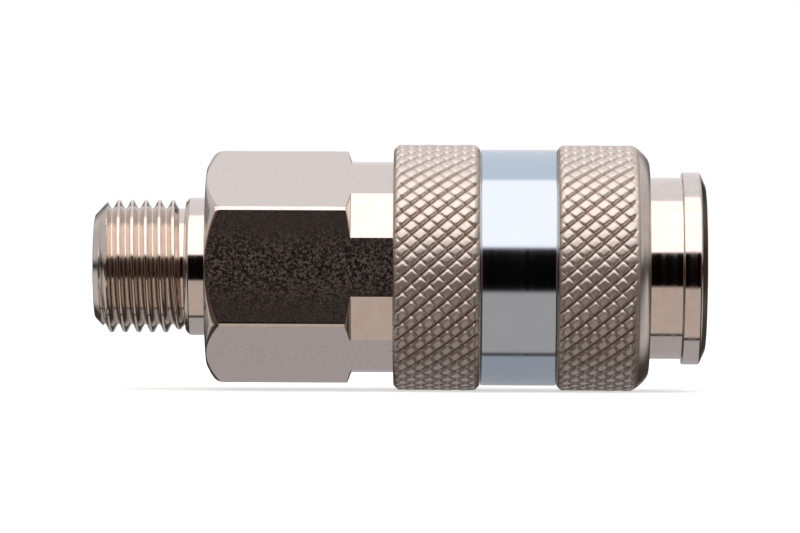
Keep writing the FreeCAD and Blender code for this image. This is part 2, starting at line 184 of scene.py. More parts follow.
class SleeveSizes(bpy.types.PropertyGroup):
    """Sizes of the locking sleeve and its band."""

    knurl_crest: length("Knurl crest", "From the axis to the top of the knurl", 12.15)
    knurl_depth: length("Knurl depth", "Depth of the deeper grooves", 0.38)
    knurl_pitch: length("Knurl pitch", "From tooth to tooth along the axis", 1.757)
    knurl_count: count("Knurl count", "Teeth round the sleeve", 47)
    knurl_cells: count("Knurl cells", "Faces across a tooth each way", 10)
    cross_depth: number("Cross grooves", "Depth of the second set of grooves, as a share", 0.42)
    tooth_spread: number("Tooth spread", "How much the teeth differ in height, as a share", 0.10)
    grip_bevel: length("Grip bevel", "Bevel at the ends of a grip", 0.5)
    front_round: length("Front round", "Length of the rounding at the front", 1.85)
    front_tip: length("Front tip", "From the axis to the rounding's end", 10.45)
    front_shape: number("Front shape", "1 makes the front a straight chamfer, 2 a round one", 1.4)
    front_plain: length("Front plain", "Length of the plain rim before the knurl", 1.1)
    front_steps: count("Front steps", "Faces along the plain rim", 12)
    run_out: length("Run-out", "Length over which the front grip's grooves come up to the rim", 0.6)
    band_seat: length("Band seat", "From the axis to the bottom of the band's seat", 11.22)
    band_inner: length("Band bore", "From the axis to the inside of the band", 11.25)
    band_gap: length("Band gap", "Clearance beside the band", 0.03)
    band_edge: length("Band edge", "Rounding of the band's edges", 0.25)
    bore: length("Bore", "Bore over the guide and the spring", 10.45)
    land: length("Land", "Bore over the front body", 9.0)
    ring_room: length("Ring room", "Bore round the stop ring", 10.95)
    ring_room_rear: length("Ring room rear", "Rear wall of the ring room along the axis", 22.0)
    ring_room_front: length("Ring room front", "Front wall of the ring room along the axis", 27.15)
    spring_shoulder: length("Spring shoulder", "Place where the spring pushes along the axis", 34.05)
    cone_rear: length("Cone rear", "Narrow end of the locking cone along the axis", 38.15)
    cone_front: length("Cone front", "Wide end of the locking cone along the axis", 42.99)
    recess: length("Recess", "Bore at the wide end of the cone", 10.269)
    recess_front: length("Recess front", "Front wall of the recess along the axis", 44.9)


class SpringSizes(bpy.types.PropertyGroup):
    """Sizes of the two springs."""

    sleeve_wire: length("Sleeve spring wire", "Wire of the sleeve spring", 0.9)
    sleeve_turns: number("Sleeve spring turns", "Turns of the sleeve spring, ends included", 4.5)
    valve_wire: length("Valve spring wire", "Wire of the valve spring", 0.8)
    valve_turns: number("Valve spring turns", "Turns of the valve spring, ends included", 8.0)
    closed_turns: number("Closed turns", "Turns at each end that lie on their seat", 0.75)
    steps: count("Steps", "Sections in each turn", 64)
    sides: count("Sides", "Sides of the wire", 16)


class FinishColours(bpy.types.PropertyGroup):
    """Colours of the finishes."""

    nickel: colour("Nickel", "Nickel plating", (0.80, 0.73, 0.68))
    nickel_shade: colour("Nickel shade", "Plating where it is a little duller", (0.76, 0.685, 0.63))
    # The groove colour is painted shade: darker plating put into the knurl's grooves, where little light
    # reaches.
    groove: colour("Groove", "Plating in grooves, where polish and oil collect", (0.45, 0.33, 0.245))
    # The thread root colour is painted shade: darker plating at the bottom of the thread.
    thread_root: colour("Thread root", "Plating at the bottom of the thread", (0.70, 0.61, 0.53))
    chrome: colour("Chrome", "Bright chrome of the band", (0.555, 0.65, 0.735))
    chrome_shade: colour("Chrome shade", "Chrome where it has been handled", (0.54, 0.635, 0.72))
    rubber: colour("Rubber", "Seals", (0.022, 0.022, 0.024))
    rubber_shade: colour("Rubber shade", "Bloom on the seals", (0.06, 0.06, 0.062))
    plastic: colour("Plastic", "Backup ring", (0.82, 0.81, 0.77))
    plastic_shade: colour("Plastic shade", "Darker flow in the plastic", (0.72, 0.70, 0.65))
    steel: colour("Steel", "Springs and stop ring", (0.56, 0.55, 0.53))
    steel_shade: colour("Steel shade", "Drawing marks on the steel", (0.36, 0.35, 0.34))
    brass: colour("Brass", "Valve", (0.83, 0.63, 0.31))
    brass_shade: colour("Brass shade", "Tarnish on the valve", (0.55, 0.38, 0.17))
    ball: colour("Ball", "Polished balls", (0.70, 0.71, 0.72))
    ball_shade: colour("Ball shade", "Contact marks on the balls", (0.52, 0.52, 0.53))


class StudioSettings(bpy.types.PropertyGroup):
    """Camera, light and floor."""

    view_distance: length("View distance", "From the camera to the axis", 560.0)
    view_centre: length("View centre", "Place along the axis at the middle of the picture", 21.15)
    view_height: length("View height", "Camera's height over the axis", 0.08)
    view_width: length("View width", "Width of the picture at the axis", 79.2)
    view_yaw: degrees("View yaw", "How far the camera stands round towards the nose", 0.6)
    view_roll: degrees("View roll", "Turn of the camera about its own line of sight", 0.25)
    softbox: number("Softbox", "Strength of the light over the camera", 1.45)
    floor_size: length("Floor size", "Side of the floor", 6000.0)
    floor_gap: length("Floor gap", "How far the floor lies under the sleeve", 0.02)
    floor_lift: number("Floor lift", "White that the camera sees in the floor by itself", 0.55)
    floor: colour("Floor colour", "Pale floor", (0.80, 0.80, 0.80))


# Mesh helpers

def place(x, radius, angle):
    """Point at x along the axis, turned by angle from -Y towards +Z."""
    return Vector((x, -radius * math.cos(angle), radius * math.sin(angle)))


def curve_corner(before, corner, after, reach, steps=4):
    """Points of a smooth bend that takes the place of one corner."""
    share_of_side = 0.45
    ends = []
    for other in (before, after):
        away = other - corner
        ends.append(corner + away.normalized() * min(reach, share_of_side * away.length))
    bend = []
    for k in range(steps + 1):
        t = k / steps
        bend.append(ends[0] * (1 - t) ** 2 + corner * 2 * t * (1 - t) + ends[1] * t**2)
    return bend


def outline(corners):
    """Closed section from (x, radius, rounding) corners. A rounding of 0 keeps the corner as it is."""
    points = [Vector(corner[:2]) for corner in corners]
    section = []
    for k, (*_, rounding) in enumerate(corners):
        if rounding:
            after = points[(k + 1) % len(points)]
            section += curve_corner(points[k - 1], points[k], after, rounding)
        else:
            section.append(points[k])
    return section


def finish_mesh(name, points, faces, sharp):
    """Object from points and faces, with clean normals and edges over the angle kept sharp."""
    mesh = bpy.data.meshes.new(name)
    mesh.from_pydata(points, [], faces)
    clean = bmesh.new()
    clean.from_mesh(mesh)
    bmesh.ops.remove_doubles(clean, verts=clean.verts, dist=SAME_SPOT)
    bmesh.ops.dissolve_degenerate(clean, edges=clean.edges, dist=NO_LENGTH)
    bmesh.ops.recalc_face_normals(clean, faces=clean.faces)
    clean.to_mesh(mesh)
    clean.free()
    mesh.shade_smooth()
    mesh.set_sharp_from_angle(angle=math.radians(sharp))
    piece = bpy.data.objects.new(name, mesh)
    bpy.context.scene.collection.objects.link(piece)
    return piece


def turned_columns(section, columns):
    """The same section at equal steps right round the axis."""
    return [(FULL_TURN * k / columns, section) for k in range(columns)]


def ring_quads(first, second, sides):
    """Faces between two closed rings of points, each given by the place of its first point."""
    quads = []
    for s in range(sides):
        t = (s + 1) % sides
        quads.append((first + s, first + t, second + t, second + s))
    return quads


def lathe(name, columns, sharp=32):
    """Closed piece from one closed section for each angle round the axis."""
    rows = len(columns[0][1])
    points = []
    for angle, section in columns:
        points += [place(x, radius, angle) for x, radius in section]
    faces = []
    for c in range(len(columns)):
        faces += ring_quads(c * rows, (c + 1) % len(columns) * rows, rows)
    return finish_mesh(name, points, faces, sharp)


def sweep(name, rings, sharp=40):
    """Closed piece from a row of closed rings of points, capped at both ends."""
    sides = len(rings[0])
    points = [point for ring in rings for point in ring]
    faces = [tuple(range(sides))]
    faces.append(tuple(len(points) - 1 - k for k in range(sides)))
    for r in range(len(rings) - 1):
        faces += ring_quads(r * sides, (r + 1) * sides, sides)
    return finish_mesh(name, points, faces, sharp)


def apply_modifiers(piece):
    """Makes what a piece's modifiers give its own mesh."""
    graph = bpy.context.evaluated_depsgraph_get()
    made = bpy.data.meshes.new_from_object(piece.evaluated_get(graph))
    piece.modifiers.clear()
    piece.data = made
    return made


def weigh_normals(piece):
    """Shades flats flat and roundings round. In metres the faces are too small for the modifier."""
    spots = [0.0] * (3 * len(piece.data.vertices))
    piece.data.vertices.foreach_get("co", spots)
    piece.data.transform(Matrix.Scale(1 / MM, 4))
    modifier = piece.modifiers.new("weighted_normals", "WEIGHTED_NORMAL")
    modifier.keep_sharp = True
    shaded = apply_modifiers(piece)
    shaded.vertices.foreach_set("co", spots)
    shaded.update()


def dress(piece, body, finishes, nodes):
    """Gives a piece its finishes and its body, and hides the nodes that it stands for."""
    for name in finishes:
        piece.data.materials.append(finish(name))
    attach(piece, body)
    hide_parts(*nodes)


# Shader helpers

class Graph:
    """Short way to add and join the nodes of one tree."""

    # Places of the colour sockets in a mix node, among those of its other types
    MIX_FACTOR = 0
    MIX_FIRST = 6
    MIX_SECOND = 7
    MIX_RESULT = 2

    def __init__(self, tree):
        self.tree = tree

    def feed(self, socket, value):
        """Joins a socket to another one, or sets it to a value."""
        if isinstance(value, bpy.types.NodeSocket):
            self.tree.links.new(value, socket)
        else:
            socket.default_value = value

    def add(self, kind, inputs=None, **settings):
        made = self.tree.nodes.new(kind)
        for key, value in settings.items():
            setattr(made, key, value)
        for key, value in (inputs or {}).items():
            self.feed(made.inputs[key], value)
        return made

    def math(self, operation, *values):
        made = self.add("ShaderNodeMath", dict(enumerate(values)), operation=operation)
        return made.outputs[0]

    def noise(self, detail, scale, spot):
        inputs = {"Vector": spot, "Scale": scale, "Detail": detail}
        return self.add("ShaderNodeTexNoise", inputs).outputs["Fac"]

    def noise_along(self, detail, run):
        inputs = {"W": run, "Scale": 1.0, "Detail": detail}
        return self.add("ShaderNodeTexNoise", inputs, noise_dimensions="1D").outputs["Fac"]

    def band(self, value, low, high):
        """Smooth 0 to 1 as value goes from low to high."""
        inputs = {"Value": value, "From Min": low, "From Max": high}
        made = self.add("ShaderNodeMapRange", inputs, interpolation_type="SMOOTHSTEP")
        return made.outputs["Result"]

    def ranged(self, value, low, high):
        """0 to 1 stretched to run from low to high."""
        inputs = {"Value": value, "To Min": low, "To Max": high}
        return self.add("ShaderNodeMapRange", inputs).outputs["Result"]

    def mixed(self, share, first, second):
        """Colour between two colours."""
        inputs = {self.MIX_FACTOR: share, self.MIX_FIRST: first, self.MIX_SECOND: second}
        return self.add("ShaderNodeMix", inputs, data_type="RGBA").outputs[self.MIX_RESULT]


def opaque(value):
    return (*value, 1.0)


def fresh_graph(owner):
    """Graph of a material's or a world's own tree, emptied."""
    owner.use_nodes = True
    owner.node_tree.nodes.clear()
    return Graph(owner.node_tree)


def object_spot(graph):
    return graph.add("ShaderNodeTexCoord").outputs["Object"]


def split_spot(graph, spot):
    """The coordinates of a spot, and its distance from the axis."""
    split = graph.add("ShaderNodeSeparateXYZ", {0: spot}).outputs
    flat = graph.add("ShaderNodeCombineXYZ", {"Y": split["Y"], "Z": split["Z"]})
    radius = graph.add("ShaderNodeVectorMath", {0: flat.outputs[0]}, operation="LENGTH")
    return split, radius.outputs["Value"]


# Shared effects

def new_group(name, inputs, outputs):
    """Empty shader node group with float inputs and outputs, and the sockets of its two end nodes."""
    group = bpy.data.node_groups.new(name, "ShaderNodeTree")
    for socket, default in inputs.items():
        made = group.interface.new_socket(socket, in_out="INPUT", socket_type="NodeSocketFloat")
        made.default_value = default
    for socket in outputs:
        group.interface.new_socket(socket, in_out="OUTPUT", socket_type="NodeSocketFloat")
    graph = Graph(group)
    return graph, graph.add("NodeGroupInput").outputs, graph.add("NodeGroupOutput").inputs


def turning_marks(name):
    """Fine rings that a lathe tool leaves, along the axis on round faces and outward on end faces."""
    graph, entry, result = new_group(name, {"Spacing": 0.1 * MM}, ["Height", "Mask"])
    broad_share = 0.11
    limits = (0.12, 0.42)
    split, radius = split_spot(graph, object_spot(graph))
    run = graph.math("DIVIDE", graph.math("ADD", split["X"], radius), entry["Spacing"])
    fine = graph.noise_along(3.0, run)
    broad = graph.noise_along(1.0, graph.math("MULTIPLY", run, broad_share))
    graph.feed(result["Height"], fine)
    graph.feed(result["Mask"], graph.band(graph.math("MULTIPLY", fine, broad), *limits))
    return graph.tree


def surface_grain(name):
    """Even grain of a drawn or moulded surface."""
    graph, entry, result = new_group(name, {"Size": 0.4 * MM, "Detail": 3.0}, ["Height", "Mask"])
    limits = (0.35, 0.68)
    scale = graph.math("DIVIDE", 1.0, entry["Size"])
    noise = graph.noise(entry["Detail"], scale, object_spot(graph))
    graph.feed(result["Height"], noise)
    graph.feed(result["Mask"], graph.band(noise, *limits))
    return graph.tree


def groove_grime(name):
    """Mask of the hollows between two radii, broken up a little, where shade is painted into the colour."""
    graph, entry, result = new_group(name, {"Root": 11.8 * MM, "Clean": 12.0 * MM}, ["Mask"])
    blotches_per_metre = 900.0
    blotch_range = (0.6, 1.25)
    spot = object_spot(graph)
    radius = split_spot(graph, spot)[1]
    hollow = graph.math("SUBTRACT", 1.0, graph.band(radius, entry["Root"], entry["Clean"]))
    blotches = graph.ranged(graph.noise(2.0, blotches_per_metre, spot), *blotch_range)
    graph.feed(result["Mask"], graph.math("MULTIPLY", hollow, blotches))
    return graph.tree


def placed(graph, effect, **values):
    """A shared effect, made the first time and placed with this material's own values."""
    name = effect.__name__.replace("_", " ")
    group = bpy.data.node_groups.get(name) or effect(name)
    node = graph.add("ShaderNodeGroup", node_tree=group)
    for key, value in values.items():
        node.inputs[key.capitalize()].default_value = value
    return node.outputs


# Finishes

def finish_shader(graph, shader, base, rough, rough_share, bumps):
    """Colour, roughness and relief of a shader, which all change over the surface."""
    graph.feed(shader["Base Color"], base)
    graph.feed(shader["Roughness"], graph.ranged(rough_share, *rough))
    normal = None
    for height, depth in bumps:
        inputs = {"Height": height, "Strength": 1.0, "Distance": depth}
        if normal:
            inputs["Normal"] = normal
        normal = graph.add("ShaderNodeBump", inputs).outputs["Normal"]
    graph.feed(shader["Normal"], normal)


def turned(graph, shader, colours, rough, grain, marks):
    """Plated or bare metal with a grain and turning marks."""
    shader["Metallic"].default_value = 1.0
    spots = placed(graph, surface_grain, size=grain[0])
    rings = placed(graph, turning_marks, spacing=marks[0])
    base = graph.mixed(spots["Mask"], *colours)
    bumps = [(spots["Height"], grain[1]), (rings["Height"], marks[1])]
    finish_shader(graph, shader, base, rough, rings["Mask"], bumps)


def grooved(graph, shader, colours, rough, grain, groove):
    """Plated metal with painted shade in its grooves."""
    shader["Metallic"].default_value = 1.0
    tint, root, clean = groove(bpy.context.scene)
    spots = placed(graph, surface_grain, size=grain[0])
    # Painted shade: the colour turns darker in the hollows between the root radius and the clean radius.
    shaded_hollows = placed(graph, groove_grime, root=root, clean=clean)
    base = graph.mixed(shaded_hollows["Mask"], graph.mixed(spots["Mask"], *colours), opaque(tint))
    finish_shader(graph, shader, base, rough, shaded_hollows["Mask"], [(spots["Height"], grain[1])])


def speckled(graph, shader, colours, rough, grain):
    """Metal of the hexagon's flats, speckled along the middle of a flat and smoother near its edges."""
    shader["Metallic"].default_value = 1.0
    flat = bpy.context.scene.coupling_rear.hex_flat
    towards_edge = (0.05 * flat, 0.45 * flat)
    edge_strength = 0.25
    spot_limits = (0.33, 0.69)
    middle = 0.5
    spots = placed(graph, surface_grain, size=grain[0], detail=1.0)
    radius = split_spot(graph, object_spot(graph))[1]
    squares = graph.math("SUBTRACT", graph.math("MULTIPLY", radius, radius), flat**2)
    from_middle = graph.math("SQRT", graph.math("MAXIMUM", squares, 0.0))
    strength = graph.ranged(graph.band(from_middle, *towards_edge), 1.0, edge_strength)
    swing = graph.math("SUBTRACT", graph.band(spots["Height"], *spot_limits), middle)
    speckle = graph.math("ADD", graph.math("MULTIPLY", swing, strength), middle)
    finish_shader(graph, shader, graph.mixed(speckle, *colours), rough, speckle, [(speckle, grain[1])])


def moulded(graph, shader, colours, rough, grain):
    """Rubber or plastic with a moulded grain."""
    spots = placed(graph, surface_grain, size=grain[0])
    base = graph.mixed(spots["Mask"], *colours)
    finish_shader(graph, shader, base, rough, spots["Mask"], [(spots["Height"], grain[1])])


def knurl_groove(scene):
    """Colour of the painted shade in the knurl's grooves, the radius of their root and the radius above
    which no shade is painted.
    """
    size = scene.coupling_sleeve
    shade_share = 0.55
    root = size.knurl_crest - size.knurl_depth
    return scene.coupling_colours.groove, root, root + shade_share * size.knurl_depth


def thread_groove(scene):
    """Colour of the painted shade at the thread's root, its radius and the radius above which no shade is
    painted.
    """
    size = scene.coupling_rear
    shade_share = 0.45
    root = size.thread_radius - size.thread_depth
    return scene.coupling_colours.thread_root, root, root + shade_share * size.thread_depth


# How each finish is made, its colour, its range of roughness, and the size and depth of its grain and marks
FINISHES = {
    "turned nickel": (turned, "nickel", dict(
        rough=(0.06, 0.12), grain=(1.1 * MM, 1.5 * MICRON), marks=(0.09 * MM, 0.6 * MICRON))),
    "satin nickel": (turned, "nickel", dict(
        rough=(0.16, 0.24), grain=(0.8 * MM, 2.0 * MICRON), marks=(0.12 * MM, 1.0 * MICRON))),
    "drawn nickel": (speckled, "nickel", dict(rough=(0.155, 0.29), grain=(0.22 * MM, 1.4 * MICRON))),
    "knurled nickel": (grooved, "nickel", dict(
        rough=(0.42, 0.52), grain=(0.5 * MM, 8.0 * MICRON), groove=knurl_groove)),
    "threaded nickel": (grooved, "nickel", dict(
        rough=(0.10, 0.20), grain=(0.6 * MM, 3.0 * MICRON), groove=thread_groove)),
    "bright chrome": (turned, "chrome", dict(
        rough=(0.09, 0.12), grain=(4.0 * MM, 1.0 * MICRON), marks=(0.5 * MM, 0.2 * MICRON))),
    "plain brass": (turned, "brass", dict(
        rough=(0.18, 0.32), grain=(1.2 * MM, 4.0 * MICRON), marks=(0.12 * MM, 3.0 * MICRON))),
    "spring steel": (turned, "steel", dict(
        rough=(0.22, 0.36), grain=(0.5 * MM, 4.0 * MICRON), marks=(0.3 * MM, 1.0 * MICRON))),
    "ball steel": (turned, "ball", dict(
        rough=(0.05, 0.14), grain=(0.8 * MM, 1.2 * MICRON), marks=(0.4 * MM, 0.4 * MICRON))),
    "black rubber": (moulded, "rubber", dict(rough=(0.48, 0.66), grain=(0.3 * MM, 8.0 * MICRON))),
    "white plastic": (moulded, "plastic", dict(rough=(0.34, 0.48), grain=(0.9 * MM, 6.0 * MICRON))),
}


def finish(name):
    """Material of a finish, made the first time that it is asked for."""
    if name in bpy.data.materials:
        return bpy.data.materials[name]
    build, tint_name, values = FINISHES[name]
    tint = bpy.context.scene.coupling_colours
    colours = [opaque(getattr(tint, key)) for key in (tint_name, tint_name + "_shade")]
    material = bpy.data.materials.new(name)
    graph = fresh_graph(material)
    shader = graph.add("ShaderNodeBsdfPrincipled")
    graph.add("ShaderNodeOutputMaterial", {"Surface": shader.outputs[0]})
    build(graph, shader.inputs, colours, **values)
    return material


# Rear body

def corner_start(size):
    """Angle from the middle of a flat to where the rounding of the hexagon's edge begins."""
    inner = size.hex_flat - size.hex_corner
    return math.atan(inner * math.tan(HALF_SIXTH) / size.hex_flat)


def hexagon_radius(size, angle):
    """From the axis to the rounded hexagon, at an angle from the middle of a flat."""
    off = abs((angle + HALF_SIXTH) % SIXTH - HALF_SIXTH)
    if off <= corner_start(size):
        return size.hex_flat / math.cos(off)
    centre = (size.hex_flat - size.hex_corner) / math.cos(HALF_SIXTH)
    beside = HALF_SIXTH - off
    return centre * math.cos(beside) + math.sqrt(size.hex_corner**2 - (centre * math.sin(beside)) ** 2)


def rear_angles(size):
    """Angles of the rear body's columns, closer at the hexagon's edges and at the guide's narrow flats."""
    bend = HALF_SIXTH - corner_start(size)
    bend_steps = 4
    narrow = math.acos(size.hex_flat / size.guide_radius)
    nudge = math.radians(0.35)
    offsets = {SIXTH * k / size.columns - HALF_SIXTH for k in range(size.columns)}
    for k in range(1, bend_steps + 2):
        inward = bend * k / bend_steps
        offsets.update((HALF_SIXTH - inward, inward - HALF_SIXTH))
    for side in (-narrow, narrow):
        offsets.update((side - nudge, side, side + nudge))
    return [side * SIXTH + off for side in range(HEX_SIDES) for off in sorted(offsets)]


def rear_section(size, angle):
    """Closed section of the rear body at one angle."""
    edge = size.edge
    wide = hexagon_radius(size, angle)
    guide = min(wide, size.guide_radius)
    guide_tip = min(guide, size.guide_radius - size.guide_chamfer)
    end = BODY_LOW.x
    front = BODY_HIGH.x
    root = size.thread_radius - size.thread_depth
    tip = size.thread_radius - size.chamfer_depth
    tip_end = end + (root - tip) * size.chamfer_length / size.chamfer_depth
    hex_start = size.collar_length
    hex_end = hex_start + size.hex_length
    cone_end = hex_end + size.hex_cone
    top = size.hex_flat / math.cos(HALF_SIXTH)
    shoulder = top - size.hex_chamfer_depth
    chamfer_share = (wide - shoulder) / size.hex_chamfer_depth
    meet = hex_start + size.hex_chamfer * chamfer_share
    hex_round = size.hex_round * chamfer_share
    cone_share = (top - max(wide, size.guide_radius)) / (top - size.guide_radius)
    ring_rear = STOP_RING_LOW.x - size.groove_gap
    ring_front = STOP_RING_HIGH.x + size.groove_gap
    corners = [
        (end, size.inlet_radius + size.inlet_chamfer, edge / 2),
        (end, tip, edge),
        (tip_end, root, edge / 2),
        (0.0, root, edge),
        (0.0, size.collar_radius - size.collar_chamfer, edge),
        (size.collar_chamfer, size.collar_radius, edge),
        (hex_start, size.collar_radius, edge),
        (hex_start, shoulder, edge),
        (meet, wide, hex_round),
        (hex_end + size.hex_cone * cone_share, wide, 1.5 * edge),
        (cone_end, guide, edge),
        (ring_rear, guide, edge / 3),
        (ring_rear, size.groove_radius, edge / 3),
        (ring_front, size.groove_radius, edge / 3),
        (ring_front, guide, edge / 3),
        (front - size.guide_chamfer, guide, edge / 2),
        (front, guide_tip, edge / 2),
        (front, size.joint_radius, edge),
        (size.joint_shoulder, size.joint_radius, edge / 2),
        (size.joint_shoulder, size.chamber_radius, edge),
        (size.chamber_end, size.chamber_radius, edge / 2),
        (size.chamber_end, size.inlet_radius, edge),
        (end + size.inlet_chamfer, size.inlet_radius, edge),
    ]
    return outline(corners)


def mark_flats(piece, flat):
    """Second material on the faces that lie in one of the hexagon's flats."""
    tolerance = 0.002 * MM
    nearly_square = 0.999
    for face in piece.data.polygons:
        facing = round(math.atan2(face.center.z, -face.center.y) / SIXTH) * SIXTH
        out = place(0.0, 1.0, facing)
        if abs(face.center.dot(out) - flat) < tolerance and face.normal.dot(out) > nearly_square:
            face.material_index = 1


class COUPLING_OT_rear_body(bpy.types.Operator):
    """Rear body with its hexagon, collar, guide and bores"""

    bl_idname = "coupling.rear_body"
    bl_label = "Rear Body"

    def execute(self, context):
        size = context.scene.coupling_rear
        columns = [(angle, rear_section(size, angle)) for angle in rear_angles(size)]
        piece = lathe("rear_body", columns)
        weigh_normals(piece)
        mark_flats(piece, size.hex_flat)
        dress(piece, "body", ["turned nickel", "drawn nickel"], ["threaded_body"])
        return {"FINISHED"}


class COUPLING_OT_male_thread(bpy.types.Operator):
    """Right-hand pipe thread on the rear body"""

    bl_idname = "coupling.male_thread"
    bl_label = "Male Thread"

    def execute(self, context):
        size = context.scene.coupling_rear
        end = BODY_LOW.x
        root = size.thread_radius - size.thread_depth
        tip = size.thread_radius - size.chamfer_depth
        slope = size.chamfer_depth / size.chamfer_length
        sink = 0.05 * MM
        pitch = size.thread_pitch
        steps = 120
        # Half of the ridge's section, as shares of the pitch and of the depth, from its foot to its crest
        half = [
            (0.47, 0.0), (0.42, 0.06), (0.36, 0.18), (0.20, 0.66), (0.15, 0.85), (0.10, 0.96), (0.0, 1.0),
        ]
        section = [(-w, h) for w, h in half] + [(w, h) for w, h in reversed(half[:-1])]
        foot = half[0][0] * pitch
        # The ridge starts where the chamfer comes up to the root, and fades before the collar
        lead_in = 0.9 * foot
        run_out = 0.33 * pitch
        start = end + (root - tip) / slope
        first = start - lead_in
        turns = (-run_out - first) / pitch
        rings = []
        for k in range(int(turns * steps) + 1):
            x_mid = first + pitch * k / steps
            angle = math.pi / 2 - FULL_TURN * (x_mid - size.thread_crest) / pitch
            height = size.thread_depth * math.sqrt(min(1.0, (turns - k / steps) / size.thread_fade))
            ring = [place(max(x_mid - foot, start), root - sink, angle)]
            for across, up in section:
                x = min(max(x_mid + across * pitch, start), 0.0)
                limit = tip + (x - end) * slope
                ring.append(place(x, max(min(root + height * up, limit), root - sink), angle))
            ring.append(place(min(x_mid + foot, 0.0), root - sink, angle))
            rings.append(ring)
        piece = sweep("male_thread", rings)
        dress(piece, "body", ["threaded nickel"], ["threaded_body"])
        return {"FINISHED"}


# Front body

def front_section(size):
    """Closed section of the front body."""
    edge = size.edge
    rear = NOSE_LOW.x
    front = NOSE_HIGH.x
    lip = NOSE_HIGH.z
    return outline([
        (rear, size.nose_radius - size.rear_chamfer, edge),
        (rear + size.rear_chamfer, size.nose_radius, edge),
        (front - size.lip_length, size.nose_radius, edge),
        (front - size.lip_length, lip, edge),
        (front - size.lip_chamfer, lip, 1.5 * edge),
        (front, lip - size.lip_chamfer_depth, 1.5 * edge),
        (front, size.mouth_radius + size.mouth_chamfer, edge),
        (front - size.mouth_chamfer, size.mouth_radius, edge),
        (size.mouth_start, size.mouth_radius, edge / 2),
        (size.mouth_start, size.plug_radius, edge / 2),
        (size.plug_step, size.plug_radius, edge / 2),
        (size.plug_step, size.tip_radius, edge),
        (size.groove_front, size.tip_radius, edge / 2),
        (size.groove_front, size.groove_radius, edge / 2),
        (size.groove_rear, size.groove_radius, edge / 2),
        (size.groove_rear, size.tip_radius, edge / 2),
        (size.seat_rear + size.seat_length, size.tip_radius, edge / 2),
        (size.seat_rear + size.seat_length, size.seat_radius, edge),
        (size.seat_rear, size.seat_radius, edge),
        (size.seat_rear, size.chamber_radius, edge / 2),
        (rear, size.chamber_radius, edge),
    ])


def ball_hole_cutter(size):
    """Tools for the ball holes: round at the bottom, straight outward."""
    ball_x = (BALL_LOW.x + BALL_HIGH.x) / 2
    radius = (BALL_HIGH.x - BALL_LOW.x) / 2 + size.ball_gap
    reach = size.nose_radius
    rings = 12
    sides = 32
    profile = []
    for k in range(rings):
        turn = math.pi / 2 * (k + 1) / rings
        profile.append((radius * math.sin(turn), -radius * math.cos(turn)))
    profile.append((radius, reach))
    points = []
    faces = []
    for ball in range(len(BALL_NODES)):
        angle = FULL_TURN * (ball + 0.5) / len(BALL_NODES)
        out = place(0.0, 1.0, angle)
        round_way = place(0.0, 1.0, angle + math.pi / 2)
        centre = place(ball_x, size.ball_circle, angle)
        first = len(points)
        points.append(centre - out * radius)
        for across, up in profile:
            for s in range(sides):
                turn = FULL_TURN * s / sides
                side = Vector((math.cos(turn), 0, 0)) + round_way * math.sin(turn)
                points.append(centre + side * across + out * up)
        for s in range(sides):
            faces.append((first, first + 1 + (s + 1) % sides, first + 1 + s))
        for r in range(len(profile) - 1):
            here = first + 1 + r * sides
            faces += ring_quads(here, here + sides, sides)
        top = first + 1 + (len(profile) - 1) * sides
        faces.append(tuple(top + s for s in range(sides)))
    return finish_mesh("ball_hole_cutter", points, faces, sharp=30)


def cut_away(piece, tool, sharp):
    """Takes the tool's shape out of a piece and removes the tool."""
    modifier = piece.modifiers.new("cut", "BOOLEAN")
    modifier.operation = "DIFFERENCE"
    modifier.solver = "EXACT"
    modifier.object = tool
    cut = apply_modifiers(piece)
    cut.shade_smooth()
    cut.set_sharp_from_angle(angle=math.radians(sharp))
    bpy.data.objects.remove(tool)


class COUPLING_OT_front_body(bpy.types.Operator):
    """Front body with its nose, mouth, valve seat and ball holes"""

    bl_idname = "coupling.front_body"
    bl_label = "Front Body"

    def execute(self, context):
        size = context.scene.coupling_front
        piece = lathe("front_body", turned_columns(front_section(size), size.columns))
        cut_away(piece, ball_hole_cutter(size), sharp=32)
        weigh_normals(piece)
        dress(piece, "body", ["turned nickel"], ["socket_body"])
        return {"FINISHED"}


# Sleeve

def tooth_scatter(first, second):
    """Steady number from 0 to 1 for one tooth."""
    mixed = math.sin(first * 12.9898 + second * 78.233) * 43758.5453
    return mixed - math.floor(mixed)


class Grip:
    """One knurled grip of the sleeve, with the place of its rows and the height of its teeth."""

    # Rise from the bottom of a groove to the top of a tooth, at equal steps across half a tooth
    MAIN_RISE = (0.0, 0.56, 0.90, 0.97, 0.99, 1.0)
    CROSS_RISE = (0.0, 0.72, 1.0, 1.0, 1.0, 1.0)

    def __init__(self, size, rear, front, run_out, envelope):
        self.size = size
        self.front = front
        self.run_out = run_out
        self.envelope = envelope
        step = size.knurl_pitch / size.knurl_cells
        rows = int((front - rear) / step)
        self.rows = [(rear + k * step, k) for k in range(rows + 1)]

    def rise(self, profile, line):
        """Height across one set of grooves, for a line counted in cells."""
        cells = self.size.knurl_cells
        off = line % cells
        share = min(off, cells - off) * 2 * (len(profile) - 1) / cells
        low = min(int(share), len(profile) - 2)
        return profile[low] + (profile[low + 1] - profile[low]) * (share - low)

    def radius(self, x, row, column):
        size = self.size
        cells = size.knurl_cells
        main = 1 - self.rise(self.MAIN_RISE, row - column)
        cross = size.cross_depth * (1 - self.rise(self.CROSS_RISE, row + column))
        tooth = tooth_scatter((row - column) // cells, (row + column) // cells % size.knurl_count)
        share = min(1.0, (self.front - x) / self.run_out)
        depth = share * size.knurl_depth * max(main, cross, size.tooth_spread * tooth)
        return min(size.knurl_crest - depth, self.envelope(x))


